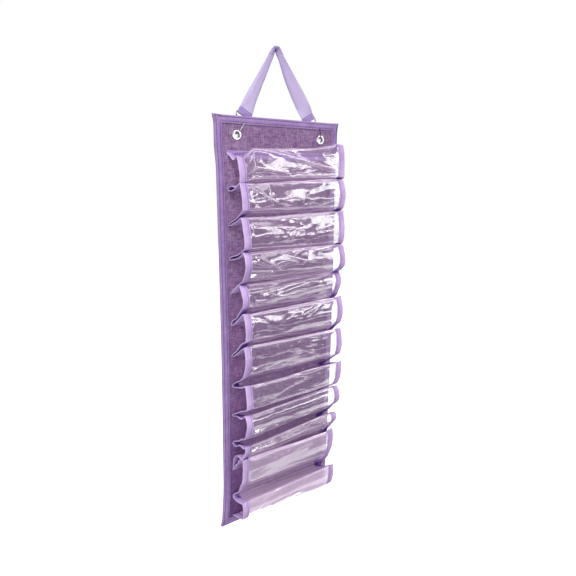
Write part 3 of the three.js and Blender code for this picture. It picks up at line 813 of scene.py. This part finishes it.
def film_piece(pocket):
    """A pocket's film from seam to seam, with its wrinkles, and how far each point is whitened: painted
    highlights along its folds and creases, and painted reflection of the floor on the lowest pockets.
    """
    edge = STRIP_HALF - FILM_INSET
    points, normals = pocket_surface(pocket, np.linspace(-edge, edge, FILM_COLUMNS))
    x = points[..., 0]
    arc = np.repeat(np.linspace(0, 1, SECTION_ROWS)[None], FILM_COLUMNS, axis=0)
    row = np.arange(SECTION_ROWS)[None]
    fixed = np.minimum(smoothstep(arc / 0.12), smoothstep((1 - arc) / 0.12))
    height, painted_highlight = wrinkles(pocket, x, arc)
    inward = STRIP_HALF - np.abs(x)
    tape_zone = smoothstep((inward - TAPE_WIDTH + 1.5 * MM) / (10 * MM))
    under_tape = np.clip(1 - inward / TAPE_WIDTH, 0, 1)
    lifted = np.where(x < 0, edge_ripple(pocket, -1)[0][None], edge_ripple(pocket, 1)[0][None])
    points = points + normals * (height * fixed * tape_zone + lifted * under_tape)[..., None]
    for crease, seed in FOLD_CREASES:
        wander = crease + 2.5 * noise_grid(x * 18, pocket * 2.0 + seed, 7.0)
        line = np.exp(-((row - wander) ** 2) / 1.1) * tape_zone
        points = points + normals * (line * 0.5 * MM)[..., None]
        # Painted highlight along the crease, as milk
        painted_highlight = painted_highlight + 0.55 * line
    # Painted highlight along the top and bottom folds, as milk
    fold = 1.1 * np.exp(-((row - TOP_FOLD) ** 2) / 7.0) + 0.9 * np.exp(-((row - BOTTOM_FOLD) ** 2) / 6.0)
    fold = fold * (0.75 + 0.5 * noise_grid(x * 40, pocket * 3.0, 6.0))
    painted_highlight = np.clip(painted_highlight * fixed + fold + PAINTED_FLOOR_REFLECTION.get(pocket, 0.0), 0, 1)
    # Painted reflection: the last pocket whitens towards its foot, standing in for the white floor it
    # reflects
    if pocket == POCKET_COUNT:
        painted_highlight = painted_highlight + 0.75 * smoothstep((arc - 0.35) / 0.35)
    skins = [(points + normals * way * FILM_HALF_THICKNESS).reshape(-1, 3) for way in (1, -1)]
    edges = looped(rectangle_rim(0, FILM_COLUMNS - 1, 0, SECTION_ROWS - 1, SECTION_ROWS))
    sheet = closed_sheet(*skins, grid_faces(FILM_COLUMNS, SECTION_ROWS), edges)
    film = mesh_object(f"pocket_{pocket:02d}_film", *sheet, [FILM])
    set_attribute(film, "painted_highlight", [painted_highlight, painted_highlight])
    set_attribute(film, "crinkle", np.full(len(sheet[0]), CRINKLED[pocket - 1]))
    return film


# An edge tape's front line: (distance in from its fold in millimetres, height in half thicknesses)
TAPE_SECTION = [(0.0, 0.0), (0.4, 0.85), (1.6, 1.05), (5.0, 0.95), (9.4, 1.0), (10.5, 0.75), (11.6, 1.0)]
TAPE_SECTION += [(13.2, 0.9), (13.5, 0.35)]
TAPE_SEAM = 10.5
TAPE_HALF_THICKNESS = 0.75 * MM
TAPE_STITCH = (4.2 * MM, 3.0 * MM, 0.3 * MM)


def tape_piece(pocket, side):
    """The woven tape folded over the film's edge, with its row of stitches, all the way round the loop."""
    outer = side * STRIP_HALF
    points, normals = pocket_surface(pocket, np.array([outer]))
    line, normal = points[0], normals[0]
    lifted, sway = edge_ripple(pocket, side)

    def place(inward, lift):
        """A path along the tape at a distance in from its outer edge, lifted off the film's surface."""
        share = 1 - inward * MM / TAPE_WIDTH
        path = line + normal * (lift * TAPE_HALF_THICKNESS + lifted * share)[:, None]
        path[:, 0] = outer - side * (inward * MM - sway * 0.5)
        return path

    section = TAPE_SECTION + [(w, -v) for w, v in TAPE_SECTION[:0:-1]]
    rings = np.stack([place(w, v) for w, v in section], axis=1)
    parts = [(rings, tube_faces(SECTION_ROWS, len(section)), 0)]
    for v in (1, -1):
        parts.append(stitch_run(place(TAPE_SEAM, v * 0.9), normal * v, *TAPE_STITCH))
    tape = sewn_object(f"pocket_{pocket:02d}_edge_tape_{SIDE_NAMES[side]}", parts, EDGE_TAPE)
    inward = np.array(section)[:, 0]
    # Painted shade along the stitch line
    set_attribute(tape, "seam", np.tile(0.7 * np.exp(-(((inward - TAPE_SEAM) / 0.8) ** 2)), SECTION_ROWS))
    # Painted highlight on the tape's folded outer edge
    set_attribute(tape, "rim", np.tile(np.exp(-((inward / 1.3) ** 2)), SECTION_ROWS))
    return tape


def build_pockets():
    for pocket in range(1, POCKET_COUNT + 1):
        body = f"pocket_{pocket:02d}"
        film = film_piece(pocket)
        pleats = [f"pleat_{pocket:02d}"] + (["pleat_00"] if pocket == 1 else [])
        stand_for(film, "clear_film", f"{body}_window", *pleats)
        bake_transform(film)
        for side, label in SIDE_NAMES.items():
            tape = tape_piece(pocket, side)
            stand_for(tape, "binding_tape", f"{body}_tape_{label}")
            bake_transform(tape)


HEADER_COLUMNS = 90
HEADER_EDGE = 2 * MM


def build_header():
    """The sewn band that holds the strip's upper end to the panel."""
    low, high = HEADER_LOW.z, FIRST_SEAM + 4 * MM
    seams, middle = (low + HEADER_EDGE, high - HEADER_EDGE), (low + high) / 2
    x = np.linspace(-STRIP_HALF, STRIP_HALF, HEADER_COLUMNS)
    outline = [(low, 0.15), (low, 1.0), (seams[0], 0.7), (middle, 1.3), (seams[1], 0.7), (high, 1.0)]
    outline += [(high, 0.15), (middle, 0.1)]
    lines = []
    for z, lift in outline:
        ripple = np.maximum(noise_grid(x * 60, z * 60, 4.0), 0) * 0.5 * MM
        y = FACE_Y - lift * MM - ripple * (lift > 0.5) + panel_bow(z)
        lines.append(np.stack([x, y, z + 0.6 * MM * noise_grid(x * 30, z * 90, 2.0)], 1))
    parts = [(np.stack(lines, axis=1), tube_faces(HEADER_COLUMNS, len(outline)), 0)]
    for height in seams:
        level = np.full(HEADER_COLUMNS, height)
        path = np.stack([x, FACE_Y - 1.0 * MM + panel_bow(level), level], 1)
        parts.append(stitch_run(path, np.tile([0.0, -1.0, 0.0], (HEADER_COLUMNS, 1)), *TAPE_STITCH))
    band = sewn_object("strip_header_band", parts, EDGE_TAPE)
    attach(band, "panel")


# ---- Strap, hems and metal

STRAP_WIDTH = 25.6 * MM
WEBBING_THICKNESS = 1.3 * MM
SECTION_SHARES = np.linspace(-1, 1, 29)


def curl_profile(angle):
    """Half-width units across and out of the webbing's section: flat in the middle, its edges curled back."""
    flat = 0.6 - 0.14 * angle
    bend = np.clip((np.abs(SECTION_SHARES) - flat) / (1 - flat), 0, 1)
    theta = np.sign(SECTION_SHARES) * angle * bend
    step = SECTION_SHARES[1] - SECTION_SHARES[0]
    middle = (theta[:-1] + theta[1:]) / 2
    u = np.concatenate([[0], np.cumsum(np.cos(middle))]) * step
    v = -np.concatenate([[0], np.cumsum(np.sin(middle))]) * step
    return u - u[len(u) // 2], (v - v.mean()) * (1 - 0.14 * angle), theta


CURL_ANGLES = np.linspace(0.0, 3.3, 60)
CURL_WIDTHS = np.minimum.accumulate([np.ptp(curl_profile(angle)[0]) / 2 for angle in CURL_ANGLES])


def node_points(name):
    return np.array([v.co for v in frame["nodes"][name].data.vertices], float)


def leg_frame(side):
    """Foot at the eyelet, direction up the strap's leg, across the leg (towards +X) and out of its front."""
    low, high = EYELET_BOXES[side]
    strap = node_points("hanging_strap")
    top = strap[:, 2].max()
    apex = strap[strap[:, 2] > top - 3 * MM].mean(axis=0)
    foot = np.array([(low.x + high.x) / 2, 1.2 * MM, (low.z + high.z) / 2])
    up = unit(np.array([0.0, apex[1], top]) - foot)
    front = unit(np.cross(X_AXIS, np.array([0.0, up[1], up[2]])))
    across = unit(np.cross(up, front))
    return foot, up, across * np.sign(across[0]), front


def webbing_strip(name, centres, across, front, narrowing, material):
    """Webbing along a line; where it narrows, its edges curl back."""
    stations, around = len(centres), 2 * len(SECTION_SHARES)
    angles = np.interp(narrowing, CURL_WIDTHS[::-1], CURL_ANGLES[::-1])
    half = WEBBING_THICKNESS / 2 * (1 - 0.3 * np.abs(SECTION_SHARES) ** 8)
    rings = []
    for i, angle in enumerate(angles):
        u, v, theta = curl_profile(angle)
        skins = []
        for way in (1, -1):
            a = u * STRAP_WIDTH / 2 + way * half * np.sin(theta)
            b = v * STRAP_WIDTH / 2 + way * half * np.cos(theta)
            skins.append(centres[i] + across[i] * a[:, None] + front[i] * b[:, None])
        rings.append(np.concatenate([skins[0], skins[1][::-1]]))
    strip = mesh_object(name, rings, tube_faces(stations, around), [material])
    woven = np.concatenate([SECTION_SHARES, SECTION_SHARES[::-1]]) * 0.5 + 0.5
    set_attribute(strip, "across", np.tile(woven, stations))
    set_attribute(strip, "along", np.repeat(travelled(centres), around))
    return strip


STRAP_START = 41.5 * MM
APEX_DROP, APEX_RADIUS = 2.6 * MM, 4.0 * MM
STRAP_DRIFT = 1.0 * MM
STRAP_BUNCHING = 0.68
# Two places, (y, z) from the hinge, worked out in build_strap but not used: the strap is not bent between
# them
STRAP_BEND = [(0, 4 * MM), (2 * MM, 34 * MM)]


def build_strap():
    """One twisted length of webbing: up from the left hem, over the apex and down to the right hem."""
    foot, up, _, front = leg_frame(1)
    plane_up = unit(np.array([0.0, up[1], up[2]]))
    rise = (node_points("hanging_strap")[:, 2].max() - foot[2]) / plane_up[2] - APEX_DROP
    centre = foot * np.array([0, 1, 1]) + plane_up * (rise - APEX_RADIUS)
    start = foot + up * STRAP_START
    tilt = math.atan2(start[0], (centre - start) @ plane_up)
    turns = np.linspace(tilt, np.pi / 2, 12)[:, None]
    arc = centre + APEX_RADIUS * (np.cos(turns) * X_AXIS + np.sin(turns) * plane_up)
    leg = start + (arc[0] - start) * np.linspace(0, 1, 60)[:-1, None]
    half = np.concatenate([leg, arc])
    centres = np.concatenate([half * np.array([-1, 1, 1]), half[::-1][1:]])
    distance = travelled(centres)
    climb = 1 - np.abs(2 * distance / distance[-1] - 1)
    drift = [noise_grid(distance * 14, 0.5, 1.0), noise_grid(distance * 14, 3.5, 2.0), 0 * distance]
    centres = centres + np.stack(drift, 1) * STRAP_DRIFT * (4 * climb * (1 - climb))[:, None]
    along = unit(np.gradient(centres, axis=0))
    level = unit(np.cross(along, -front))
    right = distance > distance[-1] / 2
    turn = np.pi / 2 * (0.12 * climb + 0.88 * climb**16)
    turn = turn + 0.5 * smoothstep(climb / 0.2) * (1 - climb) * right
    across = level * np.cos(turn)[:, None] + front * np.sin(turn)[:, None]
    across = unit(across - along * (across * along).sum(1, keepdims=True))
    free = np.clip((climb - 0.1) / 0.8, 0, 1)
    narrowing = 1 - STRAP_BUNCHING * np.where(right, free**1.9, free**0.8)
    out = unit(np.cross(along, across))
    strap = webbing_strip("strap_webbing", centres, across, out, narrowing, WEBBING)
    # How bunched the strap is, which sets the painted shade on its curled edges
    set_attribute(strap, "bunched_shade", np.repeat(free**3, 2 * len(SECTION_SHARES)))
    stand_for(strap, "webbing", "hanging_strap")
    hinge = next(joint for joint in frame["joints"] if joint["name"] == "strap_fold")["pos_m"]
    start, end = ((0, hinge[1] + y, hinge[2] + z) for y, z in STRAP_BEND)
    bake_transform(strap)


BAR_RADIUS = 1.5 * MM
HEM_GAP = 1.1 * MM
HEM_HALF_THICKNESS = 0.5 * MM
HEM_STITCH = (3.0 * MM, 2.2 * MM, 0.3 * MM)


def build_hem(side):
    """The webbing's end, folded round the hook's bar and sewn to itself."""
    node = f"strap_hem_{SIDE_NAMES[side]}"
    foot, up, across, front = leg_frame(side)
    heights = (node_points(node) - foot) @ up
    bar, top = heights.min() + 2.4 * MM, heights.max() + 1.5 * MM
    waist = (1.4 * MM, 2 * MM)
    path = [(HEM_GAP, top - bar), (HEM_GAP, 6.5 * MM), (HEM_GAP, 4 * MM), waist]
    path += [(BAR_RADIUS * math.cos(a), -BAR_RADIUS * math.sin(a)) for a in np.linspace(0, np.pi, 13)]
    path += [(-waist[0], waist[1]), (-HEM_GAP, 4 * MM), (-HEM_GAP, top - bar - 1 * MM)]
    path = np.array(path)
    tangent = unit(np.gradient(path, axis=0))
    normal = np.stack([tangent[:, 1], -tangent[:, 0]], 1)
    columns = np.linspace(-1, 1, 23)
    around = 2 * len(path)
    rings = []
    for share in columns:
        thin = HEM_HALF_THICKNESS * (1 - 0.35 * abs(share) ** 10)
        wave = 0.35 * MM * noise_grid(share * 2, path[:, 1] * 200, side * 3.0)
        skins = []
        for way in (1, -1):
            flat = path + normal * way * thin
            skin = foot + up * (bar + flat[:, 1] + wave)[:, None] + front * flat[:, :1]
            skins.append(skin + across * (share * STRAP_WIDTH / 2 * 1.01))
        rings.append(np.concatenate([skins[0], skins[1][::-1]]))
    parts = [(rings, tube_faces(len(columns), around), 0)]
    for height in (top - 1.8 * MM, bar + 4.2 * MM):
        line = foot + up * height + front * (HEM_GAP + HEM_HALF_THICKNESS)
        line = line + across * (columns * STRAP_WIDTH / 2 * 0.96)[:, None]
        parts.append(stitch_run(line, np.tile(front, (len(line), 1)), *HEM_STITCH))
    hem = sewn_object(f"strap_hem_fold_{SIDE_NAMES[side]}", parts, HEM_WEBBING)
    set_attribute(hem, "across", np.repeat(columns * 0.5 + 0.5, around))
    set_attribute(hem, "along", np.tile(np.concatenate([path[:, 1], path[::-1, 1]]), len(columns)))
    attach(hem, "handle")
    stand_for(hem, "webbing", node)


# An eyelet's section in millimetres, as (radius, distance to the front): round its front roll, from the front
# flange's back, then round its rear edge, from the rear flange's front
EYELET_ROLL = [(5.5, -0.3), (8.3, 0), (8.5, 0.25), (8.2, 0.6), (7.3, 0.95), (6.3, 1.0), (5.5, 0.8)]
EYELET_ROLL += [(5.0, 0.3), (4.8, -0.6)]
EYELET_REAR = [(4.8, 0.4), (5.0, -0.3), (5.6, -0.75), (7.0, -0.7), (7.8, -0.2), (7.7, 0), (5.5, 0.3)]
FLANGE_THICKNESS = 0.8 * MM
EYELET_AROUND = 64


def build_eyelet(side):
    """Flanged ring with a rolled front, a barrel and a spread rear edge."""
    low, high = EYELET_BOXES[side]
    centre = (low + high) / 2
    face, back = FLANGE_THICKNESS + low.y, high.y - FLANGE_THICKNESS
    profile = [(r * MM, face - h * MM) for r, h in EYELET_ROLL]
    profile += [(r * MM, back - h * MM) for r, h in EYELET_REAR]
    rings = [
        [(centre.x + r * math.cos(a), y, centre.z + r * math.sin(a)) for r, y in profile]
        for a in np.arange(EYELET_AROUND) * math.tau / EYELET_AROUND
    ]
    faces = grid_faces(EYELET_AROUND, len(profile), wrap_rows=True, wrap_columns=True)
    ring = mesh_object(f"eyelet_ring_{SIDE_NAMES[side]}", rings, faces, [STEEL])
    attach(ring, "panel")
    stand_for(ring, "plated_steel", f"eyelet_{SIDE_NAMES[side]}")


def dress_hook(side):
    """The hooks are the frame's own shapes, in wire."""
    mesh = frame["nodes"][f"strap_hook_{SIDE_NAMES[side]}"].data
    mesh.materials.clear()
    mesh.materials.append(WIRE)
    mesh.polygons.foreach_set("use_smooth", [True] * len(mesh.polygons))


def build_metal():
    for side in SIDE_NAMES:
        build_eyelet(side)
        build_hem(side)
        dress_hook(side)


# ---- Studio

# Area lights: name, place, size and power
LIGHTS = [
    ("key", (-1.2, -1.5, 2.2), (1.1, 1.1), 37),
    ("low", (-1.5, -1.5, 0.1), (1.0, 1.0), 11),
    ("fill", (1.8, -1.5, 1.2), (1.0, 1.6), 7),
    ("back", (0.6, 1.8, 1.6), (1.6, 1.2), 10),
]

# Bright windows for glossy rays: middle azimuth, half width, low and high edge in degrees, and strength
WINDOWS = [(27, 5, 9, 15, 10), (44, 8, -3, 0, 9), (6, 5, -10, -4, 8), (30, 26, -19, -17, 4)]
WINDOWS += [(40, 60, -54, -44, 3.5), (43, 5, 10, 24, 11), (30, 150, -88, -64, 16), (60, 5, 2, 22, 12)]
WINDOWS += [(20, 50, 40, 52, 4), (-30, 6, -10, 20, 7), (14, 3, 18, 34, 10)]
WINDOW_SOFT_SIDE, WINDOW_SOFT_EDGE = 5, 2.5

CAMERA_LENS = 29.63
CAMERA_FORWARD = Vector((0.5294, 0.8154, -0.2342))
CAMERA_UP = Vector((0.1176, 0.2029, 0.9721))
CAMERA_FROM_PANEL_TOP = Vector((-0.4662, -0.7465, -0.0931))

FLOOR_RADIUS, FLOOR_SIDES, FLOOR_DROP = 6.0, 96, 0.35


def softbox(name, place, target, size, power):
    """An area light that no eye and no glossy ray sees."""
    data = bpy.data.lights.new(name, "AREA")
    data.shape = "RECTANGLE"
    data.size, data.size_y = size
    data.energy = power
    light = add_object(name, data)
    light.location = place
    light.rotation_euler = (target - light.location).to_track_quat("-Z", "Y").to_euler()
    light.visible_camera = False
    light.visible_glossy = False


def build_world():
    """White to the eye, a soft sky for light, and a few bright windows that only shiny things see."""
    world = bpy.data.worlds.new("studio")
    bpy.context.scene.world = world
    n = Nodes("studio", world, "OutputWorld")
    x, y, z = n.separate(n.add("TexCoord").outputs["Generated"])
    azimuth = n.times(n.math("ARCTAN2", x, n.times(y, -1.0)), 180 / math.pi)
    elevation = n.times(n.math("ARCSINE", z), 180 / math.pi)

    def band(angle, middle, half, soft):
        """1 within half of the middle, fading to 0 over the soft margin."""
        return n.remap(n.size(n.minus(angle, middle)), half, half + soft, 1.0, 0.0, "SMOOTHSTEP")

    shiny = n.remap(elevation, -36, -50, 0.5, 1.1)
    for middle, half, low, high, strength in WINDOWS:
        wide = band(azimuth, middle, half, WINDOW_SOFT_SIDE)
        tall = band(elevation, (low + high) / 2, (high - low) / 2, WINDOW_SOFT_EDGE)
        shiny = n.plus(shiny, n.times(n.times(wide, tall), strength))

    def sky(colour, strength):
        return n.add("Background", {"Color": colour, "Strength": strength})

    path = n.add("LightPath").outputs
    tint = n.mix(n.remap(shiny, 0.5, 3.0), (0.92, 0.68, 1.0, 1), (1, 1, 1, 1))
    lit = sky((0.98, 0.98, 1.0, 1), n.remap(elevation, -30, 70, 0.2, 0.9))
    unseen = n.mix_shaders(path["Is Glossy Ray"], lit, sky(tint, shiny))
    n.show(n.mix_shaders(path["Is Camera Ray"], unseen, sky((1, 1, 1, 1), 1.0)))


def build_floor():
    angles = np.arange(FLOOR_SIDES) * math.tau / FLOOR_SIDES
    height = PANEL_BOTTOM - FLOOR_DROP
    ring = [(FLOOR_RADIUS * math.cos(a), FLOOR_RADIUS * math.sin(a), height) for a in angles]
    floor = mesh_object("floor", ring, [tuple(range(FLOOR_SIDES))], [floor_material()], smooth=False)
    floor.visible_glossy = False


def build_camera():
    data = bpy.data.cameras.new("camera")
    data.sensor_width = 36
    data.lens = CAMERA_LENS
    camera = add_object("camera", data)
    forward = CAMERA_FORWARD.normalized()
    right = forward.cross(CAMERA_UP).normalized()
    rotation = Matrix((right, right.cross(forward), -forward)).transposed()
    place = Vector((0, PANEL_LOW.y, PANEL_TOP)) + CAMERA_FROM_PANEL_TOP
    camera.matrix_world = Matrix.Translation(place) @ rotation.to_4x4()
    bpy.context.scene.camera = camera


def build_studio():
    build_world()
    build_floor()
    for name, place, size, power in LIGHTS:
        softbox(name, place, Vector((0, 0, (PANEL_TOP + PANEL_BOTTOM) / 2)), size, power)
    build_camera()
    scene = bpy.context.scene
    scene.view_settings.view_transform = "Standard"
    scene.cycles.transparent_max_bounces = 40


build_panel()
build_header()
build_pockets()
build_strap()
build_metal()
build_studio()
